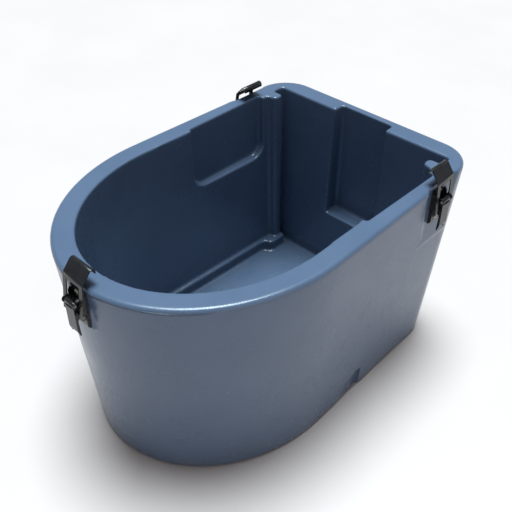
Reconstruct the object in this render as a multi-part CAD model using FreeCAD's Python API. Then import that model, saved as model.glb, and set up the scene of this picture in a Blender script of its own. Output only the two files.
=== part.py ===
import FreeCAD, Part
import math
import os

# Insulated stock water tub: one rotomoulded double-walled D-shaped tub, foam
# inside, and three over-centre draw latches for a cover. Millimetres.
# +X is the right side, -Y the round front, +Y the square back, +Z up.
# The origin is on the ground, halfway along the length and the width of the tub.

Vec = FreeCAD.Vector

# ---- tub, driving dimensions ----
HEIGHT = 405.0
RIM_FRONT_Y = -360.0        # outermost point of the round front, at the rim
RIM_BACK_Y = 360.0          # flat back, at the rim
RIM_HALF_WIDTH = 250.0      # widest half width, at the rim
RIM_CORNER_R = 69.0         # plan radius of the two back corners
NOSE_LENGTH = 298.0         # front half ellipse, from the widest line to the nose
SIDE_TAPER = 0.0296         # the straight sides close in towards the back
BASE_INSET_FRONT = 34.0     # draft of the outer wall, rim to ground
BASE_INSET_SIDE = 25.5
BASE_INSET_BACK = 17.0
BASE_CORNER_R = 80.0
RIM_WIDTH = 40.0            # width of the flat rim
SKIN = 4.0                  # thickness of the moulded plastic skin
RIM_EDGE_R = 7.0
BASE_EDGE_R = 9.0

# ---- inside of the tub ----
FLOOR_Z = 27.0
LEDGE_Z = 52.0              # low step along the foot of the side walls
LEDGE_WIDTH = 9.0
OPEN_TOP_Z = HEIGHT + 5.0   # cutters for the inside run past the rim to here
NOSE_LENGTH_DRAFT = 10.5    # the inner nose gets this much shorter, rim to ledge
HEEL_WIDTH = 0.5            # behind the ribs and along the back the ledge is only a line
INNER_DRAFT_FRONT = 14.0    # draft of the inner wall, rim to ledge
INNER_DRAFT_SIDE = 10.5
INNER_BACK_Y = 317.0
INNER_DRAFT_BACK = 13.0
PILASTER_FRONT_Y = 265.0    # upright ribs near the back, one on each side
PILASTER_BACK_Y = 290.0
PILASTER_TIP_X = 180.0
PILASTER_TIP_DRAFT = 6.0
PILASTER_FOOT_X = 164.0
PILASTER_FOOT_Y = 245.0
WALL_CORNER_RS = (8.0, 9.0, 8.0, 5.0, 6.0)     # plan radii from the rib's root to the back wall
WELL_CORNER_RS = (14.0, 13.0, 6.0, 3.0, 4.0)   # the same round the rib's foot
SLOT_HALF_WIDTH = 206.0     # upright slots between the ribs and the back wall
SIDE_POCKET_FRONT_Y = 58.0
SIDE_POCKET_BACK_Y = 252.0
SIDE_POCKET_X = 214.0
SIDE_POCKET_Z = 272.0
SIDE_POCKET_R = 30.0
SIDE_POCKET_EDGE_R = 5.0
BACK_POCKET_LEFT_X = -62.0
BACK_POCKET_RIGHT_X = 61.0
BACK_POCKET_Y = 341.0
BACK_POCKET_Z = 157.0
BACK_POCKET_EDGE_R = 6.0

# ---- outside details ----
SIDE_PAD_X = 235.0          # flat upright pads that carry the side latches
SIDE_PAD_FRONT_Y = 198.0
SIDE_PAD_BACK_Y = 294.0
SIDE_PAD_LOW_Z = 279.0
PAD_FLARE = 9.0             # plan length of the sloping ends of a pad
FRONT_PAD_Y = -356.7
FRONT_PAD_HALF = 23.5
FRONT_PAD_LOW_Z = 321.0
GRIP_FRONT_Y = 4.0          # wedge-shaped lifting recess at the foot of each side
GRIP_BACK_Y = 79.0
GRIP_HEIGHT = 50.0
GRIP_DEPTH = 11.0
FILL_HOLE_R = 12.5
FILL_HOLE_Y = (-150.0, 150.0)
PLUG_LIFT = 1.0             # the plugs sit this far above the ground
PLUG_HEIGHT = 9.0
PLUG_LIP = 2.5
PLUG_LIP_HEIGHT = 3.0

# ---- latch, in its own frame: u along the rim, n outwards, z from the rim ----
SHEET = 1.8
PAD_N = -3.3
BASE_PIN_N = 13.0
BASE_PIN_Z = -29.0
LINK_PIN_N = 8.0
LINK_PIN_Z = -48.0
PIN_R = 2.5
RUNNING_GAP = 0.05
HEAD_R = 4.0
HEAD_HEIGHT = 1.4
CLAW_HALF = 24.0
CLAW_LINE = [(11.6, -53.0), (2.3, 9.0), (-22.3, 36.6), (-22.3, 19.0)]   # leg, bend, crest, lip
CLAW_BENDS = [6.0, 5.4]
CLAW_FLANGE = [(2.4, 8.0), (12.2, -53.0), (6.0, -54.0), (2.8, -47.0), (2.6, -18.0), (1.4, -2.0)]
CLAW_FLANGE_RS = [0.3, 3.0, 4.0, 3.0, 8.0, 2.0]
WINDOW_HALF = 16.0
WINDOW_TOP_Z = 3.0
WINDOW_R = 2.5
LEVER_HALF = 11.0
KNUCKLE_R = 4.6
LEVER_FACE = [(14.7, -36.5), (16.5, -36.5), (16.5, -80.0), (15.6, -84.0), (13.9, -84.0), (14.7, -79.0)]
LEVER_FACE_RS = [0.6, 0.8, 5.0, 0.6, 0.6, 4.0]
LEVER_SKIRT = [(12.0, -26.0), (16.5, -33.0), (16.5, -80.0), (13.2, -91.5),
               (10.9, -91.5), (12.2, -62.0), (5.5, -51.0), (8.0, -40.0)]
LEVER_SKIRT_RS = [2.0, 6.0, 8.0, 1.1, 1.1, 5.0, 1.5, 3.0]
EAR_IN = 12.0
BRACKET_HALF = 20.0
BRACKET_TOP_Z = -11.0
BRACKET_LOW_Z = -81.0
BRACKET_FLANGE_N = 2.8
BRACKET_CORNER_R = 3.0
BRACKET_FLANGE_RS = [0.5, 4.0, 3.0, 0.5]
EAR_ROOT_R = 7.5
EAR_TIP_R = 6.0
SCREW_ZS = (-17.0, -55.0, -71.0)
SCREW_R = 2.5
SCREW_HEAD_R = 4.7
SCREW_HEAD_HEIGHT = 2.8
SCREW_CROWN_R = 1.6
SCREW_REACH = 10.0
DRIVE_R = 2.0
DRIVE_DEPTH = 1.4
INSERT_R = 4.0
INSERT_LENGTH = 10.0
BOSS_WALL = 2.5
CLAW_LEAN = {"front": 0.0, "right": 5.0, "left": -1.0}   # how far each claw hangs outwards, degrees
PLACES = {
    "front": (Vec(0, RIM_FRONT_Y, HEIGHT), 0.0),
    "right": (Vec(238.5, 238.0, HEIGHT), 90.0),
    "left": (Vec(-238.5, 238.0, HEIGHT), -90.0),
}


# ---------------------------------------------------------------- outlines
def arc_edge(start, middle, end):
    return Part.Arc(start, middle, end).toShape()


def rounded_chain(points, radii):
    """Edges along points, each inner point rounded by its radius."""
    edges = []
    last = points[0]
    for index in range(1, len(points) - 1):
        corner = points[index]
        back = (points[index - 1] - corner).normalize()
        ahead = (points[index + 1] - corner).normalize()
        half = back.getAngle(ahead) / 2
        reach = radii[index - 1] / math.tan(half)
        start = corner + back * reach
        end = corner + ahead * reach
        bisector = (back + ahead).normalize()
        centre = corner + bisector * (radii[index - 1] / math.sin(half))
        middle = centre - bisector * radii[index - 1]
        edges.append(Part.LineSegment(last, start).toShape())
        edges.append(arc_edge(start, middle, end))
        last = end
    edges.append(Part.LineSegment(last, points[-1]).toShape())
    return edges


def d_outline(z, nose_y, half_width, nose_length, side_points, radii):
    """Closed D outline: a half ellipse in front, then the right side's points back
    to the centre line of the back, mirrored for the left side."""
    centre_y = nose_y + nose_length
    tangent = math.atan(SIDE_TAPER * nose_length / half_width)
    join = Vec(half_width * math.cos(tangent), centre_y + nose_length * math.sin(tangent), z)
    ellipse = Part.Ellipse(Vec(0, nose_y, z), Vec(half_width, centre_y, z), Vec(0, centre_y, z))
    from_angle = ellipse.parameter(Vec(-join.x, join.y, z))
    to_angle = ellipse.parameter(join)
    nose = Part.ArcOfEllipse(ellipse, from_angle, to_angle).toShape()
    right = [join] + [Vec(x, y, z) for x, y in side_points]
    left = [Vec(-p.x, p.y, z) for p in reversed(right)]
    edges = [nose]
    edges += rounded_chain(right + left, radii + radii[::-1])
    return Part.Wire(Part.__sortEdges__(edges))


def side_x(y, half_width, nose_y, nose_length):
    """Half width of a D outline at y, along its straight tapering side."""
    centre_y = nose_y + nose_length
    tangent = math.atan(SIDE_TAPER * nose_length / half_width)
    join_x = half_width * math.cos(tangent)
    join_y = centre_y + nose_length * math.sin(tangent)
    return join_x - SIDE_TAPER * (y - join_y)


def plain_d(z, nose_y, back_y, half_width, nose_length, corner_r):
    corner = (side_x(back_y, half_width, nose_y, nose_length), back_y)
    return d_outline(z, nose_y, half_width, nose_length, [corner], [corner_r])


# ---------------------------------------------------------------- tub
def outer_form(inset):
    """The tub's outside as a plain drafted block, or its skin's inner face."""
    def level(z):
        share = (HEIGHT - z) / HEIGHT
        nose_y = RIM_FRONT_Y + share * BASE_INSET_FRONT + inset
        back_y = RIM_BACK_Y - share * BASE_INSET_BACK - inset
        half_width = RIM_HALF_WIDTH - share * BASE_INSET_SIDE - inset
        nose_length = NOSE_LENGTH - share * (BASE_INSET_FRONT - 3.5) - inset
        corner_r = RIM_CORNER_R + share * (BASE_CORNER_R - RIM_CORNER_R) - inset
        return plain_d(z, nose_y, back_y, half_width, nose_length, corner_r)

    form = Part.makeLoft([level(inset), level(HEIGHT - inset)], True, True)
    top = [e for e in form.Edges if e.BoundBox.ZMin > HEIGHT - inset - 0.1]
    form = form.makeFillet(RIM_EDGE_R - inset / 2, top)
    low = [e for e in form.Edges if e.BoundBox.ZMax < inset + 0.1]
    return form.makeFillet(BASE_EDGE_R - inset / 2, low)


def prism(points, height):
    """Upright prism on a closed plan polygon."""
    wire = Part.makePolygon(points + [points[0]])
    return Part.Face(wire).extrude(Vec(0, 0, height))


def side_pad(form, side, inset):
    """Sink the upper part of a latch pad into the wall and stand its foot proud."""
    face = SIDE_PAD_X - inset
    front = SIDE_PAD_FRONT_Y
    back = SIDE_PAD_BACK_Y
    low = SIDE_PAD_LOW_Z + inset
    deep = face - 16.0
    proud = [Vec(side * deep, front, low), Vec(side * face, front + 2.0, low)]
    proud += [Vec(side * face, back - 2.0, low), Vec(side * deep, back, low)]
    form = form.fuse(prism(proud, 60.0))
    out = face + 12.0
    sunk = [Vec(side * face, front + PAD_FLARE, low), Vec(side * out, front - PAD_FLARE, low)]
    sunk += [Vec(side * out, back + PAD_FLARE, low), Vec(side * face, back - PAD_FLARE, low)]
    return form.cut(prism(sunk, HEIGHT))


def front_pad(form, inset):
    face = FRONT_PAD_Y + inset
    half = FRONT_PAD_HALF
    low = FRONT_PAD_LOW_Z + inset
    proud = [Vec(-half, face + 16.0, low), Vec(-half + 1.0, face, low)]
    proud += [Vec(half - 1.0, face, low), Vec(half, face + 16.0, low)]
    form = form.fuse(prism(proud, 50.0))
    sunk = Part.makeBox(2 * half, 20.0, HEIGHT, Vec(-half, face - 20.0, low))
    return form.cut(sunk)


def grip_recess(side, inset):
    """Cutter for a lifting recess: a wedge that deepens towards the back under a
    quarter-ellipse arch."""
    length = GRIP_BACK_Y - GRIP_FRONT_Y + inset
    wall = RIM_HALF_WIDTH - BASE_INSET_SIDE
    middle = Vec(0, GRIP_BACK_Y + inset, 0)
    arch = Part.Ellipse(middle - Vec(0, length, 0), middle + Vec(0, 0, GRIP_HEIGHT), middle)
    edge = Part.ArcOfEllipse(arch, 0, math.pi / 2).toShape()
    start = edge.Vertexes[0].Point
    end = edge.Vertexes[1].Point
    foot = Vec(0, GRIP_BACK_Y + inset, -5.0)
    near = Vec(0, start.y, -5.0)
    rim = [edge, Part.LineSegment(end, foot).toShape(), Part.LineSegment(foot, near).toShape()]
    rim.append(Part.LineSegment(near, start).toShape())
    arched = Part.Face(Part.Wire(Part.__sortEdges__(rim))).extrude(Vec(side * 300.0, 0, 0))
    near_x = wall + 1.5 - inset
    far_x = wall - GRIP_DEPTH - inset
    out = 300.0
    wedge = [Vec(side * near_x, GRIP_FRONT_Y - 10.0, -5), Vec(side * far_x, GRIP_BACK_Y + inset, -5)]
    wedge += [Vec(side * out, GRIP_BACK_Y + inset, -5), Vec(side * out, GRIP_FRONT_Y - 10.0, -5)]
    return arched.common(prism(wedge, GRIP_HEIGHT + 20.0))


def outside(inset):
    form = outer_form(inset)
    form = front_pad(form, inset)
    for side in (-1, 1):
        form = side_pad(form, side, inset)
        form = form.cut(grip_recess(side, inset))
    return form


def cavity(grow):
    """The water space, or with grow > 0 the same space plus one skin all round."""
    def wall(z):
        share = (HEIGHT - z) / (HEIGHT - LEDGE_Z)
        nose_y = RIM_FRONT_Y + RIM_WIDTH + share * INNER_DRAFT_FRONT - grow
        half_width = RIM_HALF_WIDTH - RIM_WIDTH - share * INNER_DRAFT_SIDE + grow
        nose_length = NOSE_LENGTH - RIM_WIDTH - share * NOSE_LENGTH_DRAFT + grow
        back_y = INNER_BACK_Y - share * INNER_DRAFT_BACK + grow
        tip_x = PILASTER_TIP_X - share * PILASTER_TIP_DRAFT + grow
        front_y = PILASTER_FRONT_Y + grow
        rear_y = PILASTER_BACK_Y - grow
        slot_x = SLOT_HALF_WIDTH - share * INNER_DRAFT_SIDE + grow
        at_rib = side_x(front_y, half_width, nose_y, nose_length)
        points = [(at_rib, front_y), (tip_x, front_y + 3.0), (tip_x, rear_y)]
        points += [(slot_x, rear_y), (slot_x, back_y)]
        root, tip_front, tip_rear, slot, corner = WALL_CORNER_RS
        radii = [root + grow / 2, tip_front - grow, tip_rear - grow, slot + grow / 2, corner + grow / 2]
        return d_outline(z, nose_y, half_width, nose_length, points, radii)

    def well(z):
        nose_y = RIM_FRONT_Y + RIM_WIDTH + INNER_DRAFT_FRONT + LEDGE_WIDTH - grow
        half_width = RIM_HALF_WIDTH - RIM_WIDTH - INNER_DRAFT_SIDE - LEDGE_WIDTH + grow
        nose_length = NOSE_LENGTH - RIM_WIDTH - NOSE_LENGTH_DRAFT - LEDGE_WIDTH + grow
        back_y = INNER_BACK_Y - INNER_DRAFT_BACK - HEEL_WIDTH + grow
        foot_x = PILASTER_FOOT_X + grow
        front_y = PILASTER_FOOT_Y + grow
        rear_y = PILASTER_BACK_Y + HEEL_WIDTH - grow
        slot_x = SLOT_HALF_WIDTH - INNER_DRAFT_SIDE - HEEL_WIDTH + grow
        at_foot = side_x(front_y, half_width, nose_y, nose_length)
        points = [(at_foot, front_y - 6.0), (foot_x, front_y), (foot_x, rear_y)]
        points += [(slot_x, rear_y), (slot_x, back_y)]
        root, tip_front, tip_rear, slot, corner = WELL_CORNER_RS
        radii = [root, tip_front - grow, tip_rear - grow / 2, slot + grow / 2, corner + grow / 2]
        return d_outline(z, nose_y, half_width, nose_length, points, radii)

    space = Part.makeLoft([wall(LEDGE_Z - grow), wall(OPEN_TOP_Z)], True, True)
    low = Part.makeLoft([well(FLOOR_Z - grow), well(LEDGE_Z - grow + 0.5)], True, True)
    space = space.fuse(low)
    for side in (-1, 1):
        space = space.fuse(side_pocket(side, grow))
    return space.fuse(back_pocket(grow))


def deep_edges(block, far, axis):
    """Edges of a pocket cutter at its far side, without the open top."""
    found = []
    for edge in block.Edges:
        box = edge.BoundBox
        near = box.XMin if axis == "x" else box.YMin
        if near > far - 0.1 and box.ZMin < OPEN_TOP_Z - 1.0:
            found.append(edge)
    return found


def side_pocket(side, grow):
    front = SIDE_POCKET_FRONT_Y - grow
    back = SIDE_POCKET_BACK_Y + grow
    low = SIDE_POCKET_Z - grow
    root = 185.0
    points = [Vec(root, front, OPEN_TOP_Z), Vec(root, front, low)]
    points += [Vec(root, back, low), Vec(root, back, OPEN_TOP_Z)]
    edges = rounded_chain(points, [SIDE_POCKET_R + grow, SIDE_POCKET_R + grow])
    edges.append(Part.LineSegment(points[-1], points[0]).toShape())
    reach = SIDE_POCKET_X + grow - root
    block = Part.Face(Part.Wire(edges)).extrude(Vec(reach, 0, 0))
    block = block.makeFillet(SIDE_POCKET_EDGE_R + grow / 2, deep_edges(block, root + reach, "x"))
    if side < 0:
        block = block.mirror(Vec(0, 0, 0), Vec(1, 0, 0))
    return block


def back_pocket(grow):
    left = BACK_POCKET_LEFT_X - grow
    right = BACK_POCKET_RIGHT_X + grow
    low = BACK_POCKET_Z - grow
    root = INNER_BACK_Y - 30.0
    reach = BACK_POCKET_Y + grow - root
    block = Part.makeBox(right - left, reach, OPEN_TOP_Z - low, Vec(left, root, low))
    return block.makeFillet(BACK_POCKET_EDGE_R + grow / 2, deep_edges(block, root + reach, "y"))


def in_latch_frame(place, shape):
    """Move a shape from the latch's own frame to where that latch sits."""
    origin, turn = PLACES[place]
    moved = shape.copy()
    seat = FreeCAD.Placement(origin, FreeCAD.Rotation(Vec(0, 0, 1), turn))
    moved.Placement = seat.multiply(moved.Placement)
    return moved


def latch_rods(radius, start_n, end_n):
    """Round rods on the screw axes of one latch, as one compound."""
    rods = []
    for z in SCREW_ZS:
        rods.append(Part.makeCylinder(radius, end_n - start_n, Vec(0, -start_n, z), Vec(0, -1, 0)))
    return Part.makeCompound(rods)


def screw_bosses():
    """Plastic cups moulded round the threaded inserts, behind the latch pads."""
    rods = latch_rods(INSERT_R + BOSS_WALL, PAD_N - INSERT_LENGTH - BOSS_WALL, PAD_N - SKIN / 2)
    return [in_latch_frame(place, rods) for place in PLACES]


def insert_holes():
    rods = latch_rods(INSERT_R, PAD_N - INSERT_LENGTH, PAD_N + 5.0)
    return [in_latch_frame(place, rods) for place in PLACES]


def fill_holes(radius, low, high):
    return [Part.makeCylinder(radius, high - low, Vec(0, y, low)) for y in FILL_HOLE_Y]


def tub_parts():
    solid = outside(0.0).cut(cavity(0.0))
    solid = solid.removeSplitter()
    void = outside(SKIN).cut(cavity(SKIN))
    for boss in screw_bosses():
        void = void.cut(boss)
    shell = solid.cut(void)
    for cutter in fill_holes(FILL_HOLE_R, -1.0, SKIN + 1.0) + insert_holes():
        shell = shell.cut(cutter)
    foam = void
    for cutter in fill_holes(FILL_HOLE_R + PLUG_LIP + 0.1, 0.0, PLUG_LIFT + PLUG_HEIGHT + 0.1):
        foam = foam.cut(cutter)
    return shell, foam


def fill_plugs():
    plugs = []
    for y in FILL_HOLE_Y:
        body = Part.makeCylinder(FILL_HOLE_R, PLUG_HEIGHT, Vec(0, y, PLUG_LIFT))
        lip = Part.makeCylinder(FILL_HOLE_R + PLUG_LIP, PLUG_LIP_HEIGHT, Vec(0, y, SKIN))
        recess = Part.makeCylinder(FILL_HOLE_R - 4.0, 2.0, Vec(0, y, PLUG_LIFT))
        plugs.append(body.fuse(lip).cut(recess))
    return plugs


# ---------------------------------------------------------------- latch pieces
def at(u, n, z):
    """Latch frame to modelling axes: u is X, n outwards is -Y."""
    return Vec(u, -n, z)


def profile(points, radii, u_from, u_to):
    """Closed profile in the n-z plane, every corner rounded, extruded along u."""
    corners = [at(u_from, n, z) for n, z in points]
    first = (corners[0] + corners[-1]) * 0.5
    chain = rounded_chain([first] + corners + [first], radii)
    return Part.Face(Part.Wire(chain)).extrude(Vec(u_to - u_from, 0, 0))


def offset_line(points, distance):
    """Points of a polyline moved sideways by distance, mitred at its corners."""
    moved = []
    for index, point in enumerate(points):
        before = points[max(index - 1, 0)]
        after = points[min(index + 1, len(points) - 1)]
        if index == 0:
            before = point
        if index == len(points) - 1:
            after = point
        normals = []
        for a, b in ((before, point), (point, after)):
            length = math.hypot(b[0] - a[0], b[1] - a[1])
            if length > 0:
                normals.append((-(b[1] - a[1]) / length, (b[0] - a[0]) / length))
        nx = sum(n[0] for n in normals)
        nz = sum(n[1] for n in normals)
        scale = len(normals) * distance / (nx * nx + nz * nz)
        moved.append((point[0] + nx * scale, point[1] + nz * scale))
    return moved


def bent_sheet(line, bend_radii, u_from, u_to):
    """Bent sheet of thickness SHEET whose middle follows line, extruded along u."""
    half = SHEET / 2
    sides = []
    for sign in (1, -1):
        moved = offset_line(line, sign * half)
        radii = []
        for index in range(1, len(line) - 1):
            a = line[index - 1]
            b = line[index]
            c = line[index + 1]
            turn = (b[0] - a[0]) * (c[1] - b[1]) - (b[1] - a[1]) * (c[0] - b[0])
            inner = (turn > 0) == (sign > 0)
            radii.append(bend_radii[index - 1] + (-half if inner else half))
        sides.append(rounded_chain([at(u_from, n, z) for n, z in moved], radii))
    start_a = sides[0][0].Vertexes[0].Point
    start_b = sides[1][0].Vertexes[0].Point
    end_a = sides[0][-1].Vertexes[1].Point
    end_b = sides[1][-1].Vertexes[1].Point
    edges = sides[0] + sides[1]
    edges.append(Part.LineSegment(start_a, start_b).toShape())
    edges.append(Part.LineSegment(end_a, end_b).toShape())
    wire = Part.Wire(Part.__sortEdges__(edges))
    return Part.Face(wire).extrude(Vec(u_to - u_from, 0, 0))


def disc(radius, n, z, u_from, u_to):
    return Part.makeCylinder(radius, u_to - u_from, at(u_from, n, z), Vec(1, 0, 0))


def hull_plate(circles, u_from, u_to):
    """Plate along u covering circles (n, z, r) and the tangent bands between them."""
    plate = None
    for (n1, z1, r1), (n2, z2, r2) in zip(circles, circles[1:]):
        base = math.atan2(z2 - z1, n2 - n1)
        lean = math.acos((r1 - r2) / math.hypot(n2 - n1, z2 - z1))
        corners = []
        for n, z, r, sign in ((n1, z1, r1, 1), (n2, z2, r2, 1), (n2, z2, r2, -1), (n1, z1, r1, -1)):
            angle = base + sign * lean
            corners.append(at(u_from, n + r * math.cos(angle), z + r * math.sin(angle)))
        band = Part.Face(Part.makePolygon(corners + [corners[0]])).extrude(Vec(u_to - u_from, 0, 0))
        for n, z, r in ((n1, z1, r1), (n2, z2, r2)):
            band = band.fuse(disc(r, n, z, u_from, u_to))
        plate = band if plate is None else plate.fuse(band)
    return plate.removeSplitter()


def base_bracket():
    plate_n = PAD_N + SHEET
    plate = Part.makeBox(2 * BRACKET_HALF, SHEET, BRACKET_TOP_Z - BRACKET_LOW_Z,
                         Vec(-BRACKET_HALF, -plate_n, BRACKET_LOW_Z))
    corners = [e for e in plate.Edges if e.BoundBox.YLength > SHEET - 0.1 and e.BoundBox.ZLength < 0.1]
    bracket = plate.makeFillet(BRACKET_CORNER_R, corners)
    top = BRACKET_TOP_Z - 4.0
    low = BRACKET_LOW_Z + 2.0
    ear_root = (PAD_N + 2.0, BASE_PIN_Z - 6.0, EAR_ROOT_R)
    ear_tip = (BASE_PIN_N, BASE_PIN_Z, EAR_TIP_R)
    for sign in (-1, 1):
        edge = sign * BRACKET_HALF
        inner = sign * (BRACKET_HALF - SHEET)
        u_from, u_to = min(edge, inner), max(edge, inner)
        flange = [(PAD_N, top), (BRACKET_FLANGE_N, top - 8.0)]
        flange += [(BRACKET_FLANGE_N, low + 4.0), (PAD_N, low)]
        bracket = bracket.fuse(profile(flange, BRACKET_FLANGE_RS, u_from, u_to))
        ear_from, ear_to = sorted((sign * EAR_IN, sign * (EAR_IN + SHEET)))
        ear = hull_plate([ear_root, ear_tip], ear_from, ear_to)
        behind = Part.makeBox(80.0, 30.0, 120.0, Vec(-40.0, -PAD_N, -100.0))
        bracket = bracket.fuse(ear.cut(behind))
    bracket = bracket.cut(disc(PIN_R, BASE_PIN_N, BASE_PIN_Z, -30.0, 30.0))
    bracket = bracket.cut(latch_rods(SCREW_R, PAD_N - 1.0, plate_n + 1.0))
    return bracket.removeSplitter()


def lever():
    """Channel lever: rolled knuckle on the base pin, flat handle face, two flanges."""
    knuckle = disc(KNUCKLE_R, BASE_PIN_N, BASE_PIN_Z, -LEVER_HALF, LEVER_HALF)
    body = knuckle.fuse(profile(LEVER_FACE, LEVER_FACE_RS, -LEVER_HALF, LEVER_HALF))
    eyes = [(BASE_PIN_N, BASE_PIN_Z, KNUCKLE_R), (LINK_PIN_N, LINK_PIN_Z, KNUCKLE_R)]
    for sign in (-1, 1):
        u_from, u_to = sorted((sign * LEVER_HALF, sign * (LEVER_HALF - SHEET)))
        body = body.fuse(hull_plate(eyes, u_from, u_to))
        body = body.fuse(profile(LEVER_SKIRT, LEVER_SKIRT_RS, u_from, u_to))
    body = body.cut(disc(PIN_R + RUNNING_GAP, BASE_PIN_N, BASE_PIN_Z, -30.0, 30.0))
    body = body.cut(disc(PIN_R + RUNNING_GAP, LINK_PIN_N, LINK_PIN_Z, -30.0, 30.0))
    return body.removeSplitter()


def claw():
    """Hook that pulls the cover down: a bent sheet with a window for the lever."""
    hook = bent_sheet(CLAW_LINE, CLAW_BENDS, -CLAW_HALF, CLAW_HALF)
    window = Part.makeBox(2 * WINDOW_HALF, 60.0, 80.0, Vec(-WINDOW_HALF, -30.0, WINDOW_TOP_Z - 80.0))
    corners = []
    for edge in window.Edges:
        box = edge.BoundBox
        if box.YLength > 59.0 and box.ZMin > WINDOW_TOP_Z - 1.0:
            corners.append(edge)
    hook = hook.cut(window.makeFillet(WINDOW_R, corners))
    for sign in (-1, 1):
        u_from, u_to = sorted((sign * CLAW_HALF, sign * (CLAW_HALF - SHEET)))
        hook = hook.fuse(profile(CLAW_FLANGE, CLAW_FLANGE_RS, u_from, u_to))
    hook = hook.cut(disc(PIN_R + RUNNING_GAP, LINK_PIN_N, LINK_PIN_Z, -30.0, 30.0))
    return hook.removeSplitter()


def headed_pin(n, z, half_length):
    """Plain pin along u with a low domed head at each end."""
    pin = disc(PIN_R, n, z, -half_length, half_length)
    dome_r = (HEAD_R ** 2 + HEAD_HEIGHT ** 2) / (2 * HEAD_HEIGHT)
    for sign in (-1, 1):
        seat = at(sign * half_length, n, z)
        ball = Part.makeSphere(dome_r, seat + Vec(sign * (HEAD_HEIGHT - dome_r), 0, 0))
        cap = Part.makeCylinder(HEAD_R, HEAD_HEIGHT, seat, Vec(sign, 0, 0))
        pin = pin.fuse(ball.common(cap))
    return pin


def mounting_screws():
    screws = []
    seat = PAD_N + SHEET
    for z in SCREW_ZS:
        shank = Part.makeCylinder(SCREW_R, SCREW_REACH, at(0, seat, z), Vec(0, 1, 0))
        head = Part.makeCylinder(SCREW_HEAD_R, SCREW_HEAD_HEIGHT, at(0, seat, z), Vec(0, -1, 0))
        crown = [e for e in head.Edges if e.BoundBox.YLength < 0.01 and e.BoundBox.YMin < -seat - 1.0]
        head = head.makeFillet(SCREW_CROWN_R, crown)
        hexagon = []
        for step in range(6):
            angle = math.radians(60 * step)
            corner_z = z + DRIVE_R * math.sin(angle)
            hexagon.append(at(DRIVE_R * math.cos(angle), seat + SCREW_HEAD_HEIGHT, corner_z))
        socket = Part.Face(Part.makePolygon(hexagon + [hexagon[0]])).extrude(Vec(0, DRIVE_DEPTH, 0))
        screws.append(shank.fuse(head).cut(socket))
    return Part.makeCompound(screws)


def threaded_inserts():
    inserts = []
    for z in SCREW_ZS:
        sleeve = Part.makeCylinder(INSERT_R, INSERT_LENGTH, at(0, PAD_N, z), Vec(0, 1, 0))
        inserts.append(sleeve.cut(Part.makeCylinder(SCREW_R, INSERT_LENGTH, at(0, PAD_N, z), Vec(0, 1, 0))))
    return Part.makeCompound(inserts)


def leaning(shape, degrees):
    """Turn a claw outwards about its link pin."""
    turned = shape.copy()
    turned.rotate(at(0, LINK_PIN_N, LINK_PIN_Z), Vec(1, 0, 0), degrees)
    return turned


# ---------------------------------------------------------------- write out
def build():
    nodes = {}
    shell, foam = tub_parts()
    nodes["tub_shell"] = shell
    nodes["foam_core"] = foam
    for name, plug in zip(("fill_plug_front", "fill_plug_rear"), fill_plugs()):
        nodes[name] = plug
    pieces = {
        "base_bracket": base_bracket(),
        "lever": lever(),
        "base_pin": headed_pin(BASE_PIN_N, BASE_PIN_Z, EAR_IN + SHEET),
        "link_pin": headed_pin(LINK_PIN_N, LINK_PIN_Z, CLAW_HALF + 0.15),
        "mounting_screws": mounting_screws(),
        "threaded_inserts": threaded_inserts(),
    }
    hook = claw()
    for place in PLACES:
        for name, shape in pieces.items():
            nodes[f"{place}_latch_{name}"] = in_latch_frame(place, shape)
        nodes[f"{place}_latch_claw"] = in_latch_frame(place, leaning(hook, CLAW_LEAN[place]))
    return nodes


os.makedirs("parts", exist_ok=True)
for node, shape in build().items():
    shape.exportStep(f"parts/{node}.step")
    print(node, len(shape.Solids), shape.isValid(), round(shape.Volume / 1000, 2), "cm3")
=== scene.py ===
import math

import bmesh
import bpy
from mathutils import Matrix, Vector
from mathutils.bvhtree import BVHTree


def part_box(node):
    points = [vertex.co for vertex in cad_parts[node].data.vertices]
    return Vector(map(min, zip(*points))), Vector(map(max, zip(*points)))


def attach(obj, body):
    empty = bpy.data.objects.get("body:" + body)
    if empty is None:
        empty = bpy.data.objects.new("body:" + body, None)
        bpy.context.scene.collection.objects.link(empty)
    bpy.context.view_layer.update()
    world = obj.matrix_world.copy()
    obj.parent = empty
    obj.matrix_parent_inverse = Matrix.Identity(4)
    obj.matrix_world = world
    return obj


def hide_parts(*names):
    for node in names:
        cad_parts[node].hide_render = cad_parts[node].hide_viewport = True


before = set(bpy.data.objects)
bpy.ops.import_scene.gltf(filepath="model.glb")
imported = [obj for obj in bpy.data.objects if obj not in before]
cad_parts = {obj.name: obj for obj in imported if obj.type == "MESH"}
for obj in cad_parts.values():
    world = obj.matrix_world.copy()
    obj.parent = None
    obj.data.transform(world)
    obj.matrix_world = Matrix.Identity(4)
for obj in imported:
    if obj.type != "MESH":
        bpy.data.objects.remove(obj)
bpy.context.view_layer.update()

# Insulated stock water tub with three draw latches. Metres, +Z up, -Y is the round front.

RIM_TOP_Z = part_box("tub_shell")[1][2]
LATCHES = ("front", "right", "left")
MERGE_DISTANCE = 1e-6     # points closer than this are one point

# camera
CAMERA_TARGET = Vector((0.00975, 0.01195, 0.24465))
CAMERA_BACK = Vector((0.5387, -0.5609, 0.6287))  # unit vector from the target to the camera
CAMERA_DISTANCE = 1.4099
CAMERA_LENS = 53.25       # mm
CAMERA_SENSOR = 36.0      # mm
SUN_DISTANCE = 2.0        # only where the lamp's symbol stands
FLOOR_REACH = 6.0         # half width of the studio floor

# the tub's own mesh
VOXEL = 0.0022            # grid of the tub's skin
SOFTEN_STEPS = 6          # smoothing passes that round its moulded edges
SOFTEN_FACTOR = 0.5
TUB_FACES = 190000        # triangles left in the tub
RELAX_STEPS = 1           # smoothing passes after the mesh is thinned
RELAX_FACTOR = 0.35
NEAR_FOAM = 0.001         # faces of the skin this close to the foam are its inner side

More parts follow.
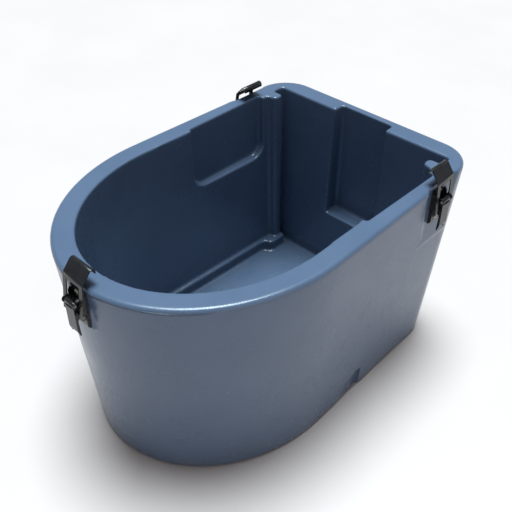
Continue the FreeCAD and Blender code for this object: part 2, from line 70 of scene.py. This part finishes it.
# relief of the tub's material
EDGE_LIGHT_RADIUS = 0.005  # how far edges are lit as if they were round
EDGE_LIGHT_SAMPLES = 8
BEAD_DROP = 0.0076        # from the rim's top down to the moulded line
BEAD_HALF_WIDTH = 0.0022
BEAD_HEIGHT = 0.0028
BEAD_START_Y = -0.24      # the line fades in from here ...
BEAD_FULL_Y = -0.31       # ... to here
DUST_TOP = 0.05           # dust reaches this high above the floor

# edges of the pressed latch plates
LATCH_BEVEL = 0.00025
LATCH_BEVEL_SEGMENTS = 2
LATCH_BEVEL_ANGLE = math.radians(35)

# colours, linear RGB; pairs are the two ends of a mottle
TUB_BLUES = ((0.068, 0.102, 0.168), (0.078, 0.115, 0.186))
TUB_SPECK = (0.12, 0.17, 0.24)
TUB_SCUFF = (0.18, 0.22, 0.29)
TUB_DUST = (0.22, 0.22, 0.22)
LATCH_BLACKS = ((0.006, 0.006, 0.007), (0.012, 0.012, 0.013))
LATCH_RUBBED = (0.07, 0.066, 0.062)
PIN_GREYS = ((0.16, 0.155, 0.15), (0.07, 0.065, 0.06))
SCREW_GREYS = ((0.55, 0.54, 0.52), (0.30, 0.28, 0.25))
BRASS_TONES = ((0.60, 0.44, 0.18), (0.42, 0.29, 0.12))
FOAM_TONES = ((0.62, 0.52, 0.34), (0.80, 0.72, 0.52))
PLUG_BLUES = ((0.055, 0.080, 0.13), (0.07, 0.10, 0.16))
FLOOR_TONES = ((0.53, 0.46, 0.44), (0.55, 0.48, 0.46))


def add_object(name, data):
    """A new object of the scene that shows data."""
    thing = bpy.data.objects.new(name, data)
    bpy.context.scene.collection.objects.link(thing)
    return thing


# ---------------------------------------------------------------- camera and light
def aim(thing, target):
    """Turn a camera or lamp towards target."""
    thing.rotation_euler = (Vector(target) - thing.location).to_track_quat("-Z", "Y").to_euler()


def make_camera():
    """Camera above the round front, off to the right."""
    lens = bpy.data.cameras.new("camera")
    lens.sensor_width = CAMERA_SENSOR
    lens.lens = CAMERA_LENS
    camera = add_object("camera", lens)
    camera.location = CAMERA_TARGET + CAMERA_BACK * CAMERA_DISTANCE
    aim(camera, CAMERA_TARGET)
    bpy.context.scene.camera = camera


def make_world(strength, colour):
    """Even light from all round."""
    world = bpy.data.worlds.new("studio")
    world.use_nodes = True
    background = world.node_tree.nodes["Background"]
    background.inputs["Color"].default_value = (*colour, 1.0)
    background.inputs["Strength"].default_value = strength
    bpy.context.scene.world = world


def add_sun(name, direction, strength, softness, colour):
    """Distant light shining along direction; softness is its width in degrees."""
    lamp = bpy.data.lights.new(name, "SUN")
    lamp.energy = strength
    lamp.angle = math.radians(softness)
    lamp.color = colour
    holder = add_object(name, lamp)
    holder.location = Vector(direction) * -SUN_DISTANCE
    aim(holder, (0, 0, 0))


def add_card(name, place, target, width, height, watts, colour):
    """Lit rectangular card at place, facing target."""
    lamp = bpy.data.lights.new(name, "AREA")
    lamp.shape = "RECTANGLE"
    lamp.size = width
    lamp.size_y = height
    lamp.energy = watts
    lamp.color = colour
    holder = add_object(name, lamp)
    holder.location = place
    aim(holder, target)


def make_light():
    """Wide light from almost straight above, a faint fill and a warm card low on the right."""
    make_world(strength=0.31, colour=(0.88, 0.93, 1.0))
    add_sun("ceiling", direction=(0.10, -0.12, -1.0), strength=5.9, softness=28.0, colour=(0.81, 0.95, 1.0))
    add_card(
        "right_card", place=(1.7, -0.5, 0.45), target=(0.2, 0.05, 0.2),
        width=1.3, height=0.7, watts=2.4, colour=(1.0, 0.88, 0.76),
    )
    settings = bpy.context.scene.view_settings
    settings.view_transform = "Standard"
    settings.look = "None"


# ---------------------------------------------------------------- materials
class Nodes:
    """Short way to build a material's node tree in the object's own coordinates."""

    def __init__(self, name):
        self.material = bpy.data.materials.new(name)
        self.material.use_nodes = True
        self.tree = self.material.node_tree
        self.shader = self.tree.nodes["Principled BSDF"]
        self.place = self.add("ShaderNodeTexCoord").outputs["Object"]
        self.normal = None

    def add(self, kind, **values):
        """A new node; values name its settings or its input sockets."""
        node = self.tree.nodes.new(kind)
        for key, value in values.items():
            if hasattr(node, key):
                setattr(node, key, value)
            else:
                node.inputs[key].default_value = value
        return node

    def link(self, source, target):
        self.tree.links.new(source, target)

    def feed(self, socket, value):
        """Give a socket a number, a colour or another node's output."""
        if hasattr(value, "is_output"):
            self.link(value, socket)
        elif isinstance(value, tuple):
            socket.default_value = (*value, 1.0)
        else:
            socket.default_value = value

    def noise(self, scale, detail, roughness=0.55, stretch=None):
        """Cloudy noise; stretch scales its three axes."""
        node = self.add("ShaderNodeTexNoise", Scale=scale, Detail=detail, Roughness=roughness)
        source = self.place
        if stretch:
            mapping = self.add("ShaderNodeMapping")
            mapping.inputs["Scale"].default_value = stretch
            self.link(self.place, mapping.inputs["Vector"])
            source = mapping.outputs["Vector"]
        self.link(source, node.inputs["Vector"])
        return node.outputs["Fac"]

    def cells(self, scale):
        """Distance to the nearest cell centre of a cellular pattern."""
        node = self.add("ShaderNodeTexVoronoi", Scale=scale)
        self.link(self.place, node.inputs["Vector"])
        return node.outputs["Distance"]

    def axis(self, letter):
        """Place along X, Y or Z."""
        split = self.add("ShaderNodeSeparateXYZ")
        self.link(self.place, split.inputs[0])
        return split.outputs[letter]

    def span(self, source, low, high, to_low=0.0, to_high=1.0):
        """Carry low..high of source over to to_low..to_high, cut off at both ends."""
        node = self.add("ShaderNodeMapRange")
        for name, value in (("From Min", low), ("From Max", high), ("To Min", to_low), ("To Max", to_high)):
            node.inputs[name].default_value = value
        self.link(source, node.inputs["Value"])
        return node.outputs["Result"]

    def mix(self, factor, first, second):
        """Colour between first and second."""
        node = self.add("ShaderNodeMix", data_type="RGBA")
        self.feed(node.inputs[6], first)
        self.feed(node.inputs[7], second)
        self.link(factor, node.inputs[0])
        return node.outputs[2]

    def math(self, operation, *values):
        """Arithmetic on numbers and outputs."""
        node = self.add("ShaderNodeMath", operation=operation)
        for socket, value in zip(node.inputs, values):
            self.feed(socket, value)
        return node.outputs[0]

    def light_edges_round(self, radius):
        """Start the normal from edges lit as if they were round."""
        bevel = self.add("ShaderNodeBevel", samples=EDGE_LIGHT_SAMPLES, Radius=radius)
        self.normal = bevel.outputs["Normal"]

    def bump(self, source, strength, distance):
        """Lay one more relief over the normal."""
        node = self.add("ShaderNodeBump", Strength=strength, Distance=distance)
        self.link(source, node.inputs["Height"])
        if self.normal:
            self.link(self.normal, node.inputs["Normal"])
        self.normal = node.outputs["Normal"]

    def finish(self, colour, roughness, **constants):
        """Feed the shader and hand the material over."""
        self.feed(self.shader.inputs["Base Color"], colour)
        self.feed(self.shader.inputs["Roughness"], roughness)
        if self.normal:
            self.link(self.normal, self.shader.inputs["Normal"])
        for name, value in constants.items():
            self.shader.inputs[name.replace("_", " ")].default_value = value
        return self.material


def tub_plastic():
    """Slate blue rotomoulded polyethylene: faint mottle, orange peel, scuffs, dust at the foot."""
    nodes = Nodes("tub_plastic")
    mottle = nodes.span(nodes.noise(scale=9.0, detail=5.0), 0.3, 0.7)
    speck = nodes.span(nodes.noise(scale=900.0, detail=2.0), 0.62, 0.75, to_high=0.30)
    base = nodes.mix(mottle, *TUB_BLUES)
    base = nodes.mix(speck, base, TUB_SPECK)
    upright = nodes.noise(scale=34.0, detail=8.0, roughness=0.7, stretch=(1.0, 1.0, 14.0))
    scratch = nodes.span(upright, 0.66, 0.74)
    patch = nodes.span(nodes.noise(scale=6.0, detail=3.0), 0.5, 0.65, to_high=0.25)
    worn = nodes.math("MULTIPLY", scratch, patch)
    base = nodes.mix(worn, base, TUB_SCUFF)
    low = nodes.span(nodes.axis("Z"), 0.0, DUST_TOP, to_low=0.22, to_high=0.0)
    dust = nodes.math("MULTIPLY", low, nodes.span(nodes.noise(scale=22.0, detail=5.0), 0.35, 0.75))
    base = nodes.mix(dust, base, TUB_DUST)
    rough = nodes.span(nodes.noise(scale=14.0, detail=6.0), 0.3, 0.7, to_low=0.22, to_high=0.30)
    rough = nodes.math("ADD", rough, nodes.math("MULTIPLY", worn, 0.2))
    nodes.light_edges_round(EDGE_LIGHT_RADIUS)
    nodes.bump(nodes.noise(scale=420.0, detail=2.0), strength=0.08, distance=0.0006)
    nodes.bump(nodes.noise(scale=26.0, detail=2.0), strength=0.10, distance=0.002)
    nodes.bump(bead(nodes), strength=1.0, distance=BEAD_HEIGHT)
    return nodes.finish(base, rough, Specular_IOR_Level=0.5, IOR=1.5)


def bead(nodes):
    """Height of the thin moulded line that runs round the nose just under the rim's top."""
    above_line = nodes.math("SUBTRACT", nodes.axis("Z"), RIM_TOP_Z - BEAD_DROP)
    ridge = nodes.span(nodes.math("ABSOLUTE", above_line), 0.0, BEAD_HALF_WIDTH, to_low=1.0, to_high=0.0)
    nose = nodes.span(nodes.axis("Y"), BEAD_START_Y, BEAD_FULL_Y)
    return nodes.math("MULTIPLY", ridge, nose)


def latch_steel():
    """Black coated steel, satin gloss, with faint rubbing marks that show grey metal."""
    nodes = Nodes("latch_steel")
    cloud = nodes.span(nodes.noise(scale=60.0, detail=4.0), 0.3, 0.7)
    base = nodes.mix(cloud, *LATCH_BLACKS)
    streaks = nodes.noise(scale=260.0, detail=8.0, roughness=0.7, stretch=(1.0, 1.0, 0.15))
    base = nodes.mix(nodes.span(streaks, 0.66, 0.73, to_high=0.35), base, LATCH_RUBBED)
    rough = nodes.span(nodes.noise(scale=180.0, detail=5.0), 0.3, 0.7, to_low=0.16, to_high=0.27)
    nodes.bump(nodes.noise(scale=1500.0, detail=3.0), strength=0.08, distance=0.0002)
    return nodes.finish(base, rough, Metallic=0.0, Specular_IOR_Level=0.5, IOR=1.5)


def bare_steel(name, greys, rough_low, rough_high):
    """Plated steel of pins and screws with a little tarnish."""
    nodes = Nodes(name)
    tarnish = nodes.span(nodes.noise(scale=420.0, detail=6.0), 0.4, 0.65)
    base = nodes.mix(tarnish, *greys)
    grain = nodes.noise(scale=900.0, detail=4.0)
    rough = nodes.span(grain, 0.3, 0.7, to_low=rough_low, to_high=rough_high)
    nodes.bump(nodes.noise(scale=2500.0, detail=2.0), strength=0.1, distance=0.0001)
    return nodes.finish(base, rough, Metallic=1.0)


def brass():
    """Turned brass of the moulded-in inserts."""
    nodes = Nodes("brass_insert")
    tarnish = nodes.span(nodes.noise(scale=500.0, detail=4.0), 0.35, 0.65)
    rough = nodes.span(nodes.noise(scale=900.0, detail=2.0), 0.3, 0.7, to_low=0.25, to_high=0.4)
    return nodes.finish(nodes.mix(tarnish, *BRASS_TONES), rough, Metallic=1.0)


def foam():
    """Cellular insulation between the tub's skins."""
    nodes = Nodes("foam")
    cells = nodes.cells(scale=900.0)
    nodes.bump(cells, strength=0.5, distance=0.0005)
    return nodes.finish(nodes.mix(nodes.span(cells, 0.0, 0.7), *FOAM_TONES), 0.9)


def plug_plastic():
    """Darker blue plastic of the two fill plugs."""
    nodes = Nodes("plug_plastic")
    mottle = nodes.span(nodes.noise(scale=40.0, detail=4.0), 0.3, 0.7)
    nodes.bump(nodes.noise(scale=700.0, detail=2.0), strength=0.1, distance=0.0004)
    return nodes.finish(nodes.mix(mottle, *PLUG_BLUES), 0.45)


def floor_material():
    """Plain pale studio floor."""
    nodes = Nodes("studio_floor")
    mottle = nodes.span(nodes.noise(scale=3.0, detail=3.0), 0.3, 0.7)
    return nodes.finish(nodes.mix(mottle, *FLOOR_TONES), 0.6)


# ---------------------------------------------------------------- tub
def drop_wall_space(skin):
    """Take away the skin's inner side, which only the foam touches, and close what that opens."""
    foam_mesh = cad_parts["foam_core"].data
    corners = [vertex.co for vertex in foam_mesh.vertices]
    tree = BVHTree.FromPolygons(corners, [list(face.vertices) for face in foam_mesh.polygons])
    inner = []
    for face in skin.faces:
        if tree.find_nearest(face.calc_center_median(), NEAR_FOAM)[0] is not None:
            inner.append(face)
    bmesh.ops.delete(skin, geom=inner, context="FACES")
    bmesh.ops.holes_fill(skin, edges=skin.edges[:], sides=0)


def outer_skin():
    """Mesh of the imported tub's outer surface, closed, without the space inside its wall."""
    skin = bmesh.new()
    skin.from_mesh(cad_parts["tub_shell"].data)
    bmesh.ops.remove_doubles(skin, verts=skin.verts, dist=MERGE_DISTANCE)
    drop_wall_space(skin)
    mesh = bpy.data.meshes.new("tub_body")
    skin.to_mesh(mesh)
    skin.free()
    return mesh


def bake_modifiers(piece):
    """Make the modifiers' result the piece's own mesh."""
    graph = bpy.context.evaluated_depsgraph_get()
    graph.update()
    mesh = bpy.data.meshes.new_from_object(piece.evaluated_get(graph))
    piece.modifiers.clear()
    old = piece.data
    piece.data = mesh
    mesh.name = piece.name
    bpy.data.meshes.remove(old)


def add_smooth(piece, name, factor, steps):
    """Smoothing modifier that moves each point towards its neighbours, steps times."""
    smooth = piece.modifiers.new(name, "SMOOTH")
    smooth.factor = factor
    smooth.iterations = steps


def soften(tub):
    """Put the tub's skin on an even grid, round its edges and thin it out."""
    grid = tub.modifiers.new("grid", "REMESH")
    grid.mode = "VOXEL"
    grid.voxel_size = VOXEL
    add_smooth(tub, "soft", SOFTEN_FACTOR, SOFTEN_STEPS)
    bake_modifiers(tub)
    triangles = sum(len(face.vertices) - 2 for face in tub.data.polygons)
    thin = tub.modifiers.new("thin", "DECIMATE")
    thin.ratio = min(1.0, TUB_FACES / triangles)
    add_smooth(tub, "relax", RELAX_FACTOR, RELAX_STEPS)
    bake_modifiers(tub)
    for face in tub.data.polygons:
        face.use_smooth = True


def make_tub():
    """The tub's skin again with every moulded edge soft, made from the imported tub's own surface."""
    tub = add_object("tub_body", outer_skin())
    soften(tub)
    tub.data.materials.clear()
    tub.data.materials.append(tub_plastic())
    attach(tub, "tub")
    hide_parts("tub_shell")


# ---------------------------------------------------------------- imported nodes
def dress(node, material):
    """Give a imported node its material."""
    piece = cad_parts[node]
    piece.data.materials.clear()
    piece.data.materials.append(material)
    return piece


def break_edges(piece):
    """Lightly rounded edges on a pressed plate."""
    weld = piece.modifiers.new("weld", "WELD")
    weld.merge_threshold = MERGE_DISTANCE
    edge = piece.modifiers.new("edge", "BEVEL")
    edge.width = LATCH_BEVEL
    edge.segments = LATCH_BEVEL_SEGMENTS
    edge.limit_method = "ANGLE"
    edge.angle_limit = LATCH_BEVEL_ANGLE
    edge.harden_normals = True


def dress_latches():
    """Plates, pins, screws and inserts of the three latches."""
    plate = latch_steel()
    pin = bare_steel("pin_steel", PIN_GREYS, 0.18, 0.32)
    screw = bare_steel("screw_steel", SCREW_GREYS, 0.22, 0.38)
    insert = brass()
    for latch in LATCHES:
        for part in ("base_bracket", "lever", "claw"):
            break_edges(dress(f"{latch}_latch_{part}", plate))
        for part in ("base_pin", "link_pin"):
            dress(f"{latch}_latch_{part}", pin)
        dress(f"{latch}_latch_mounting_screws", screw)
        dress(f"{latch}_latch_threaded_inserts", insert)


def dress_filling():
    """Foam in the wall and the plugs of its fill holes."""
    dress("foam_core", foam())
    plastic = plug_plastic()
    for plug in ("fill_plug_front", "fill_plug_rear"):
        dress(plug, plastic)


# ---------------------------------------------------------------- stage
def make_floor():
    """Wide plain floor under the tub."""
    reach = FLOOR_REACH
    corners = [(-reach, -reach, 0), (reach, -reach, 0), (reach, reach, 0), (-reach, reach, 0)]
    mesh = bpy.data.meshes.new("studio_floor")
    mesh.from_pydata(corners, [], [(0, 1, 2, 3)])
    mesh.materials.append(floor_material())
    add_object("studio_floor", mesh)


make_camera()
make_light()
make_floor()
make_tub()
dress_latches()
dress_filling()
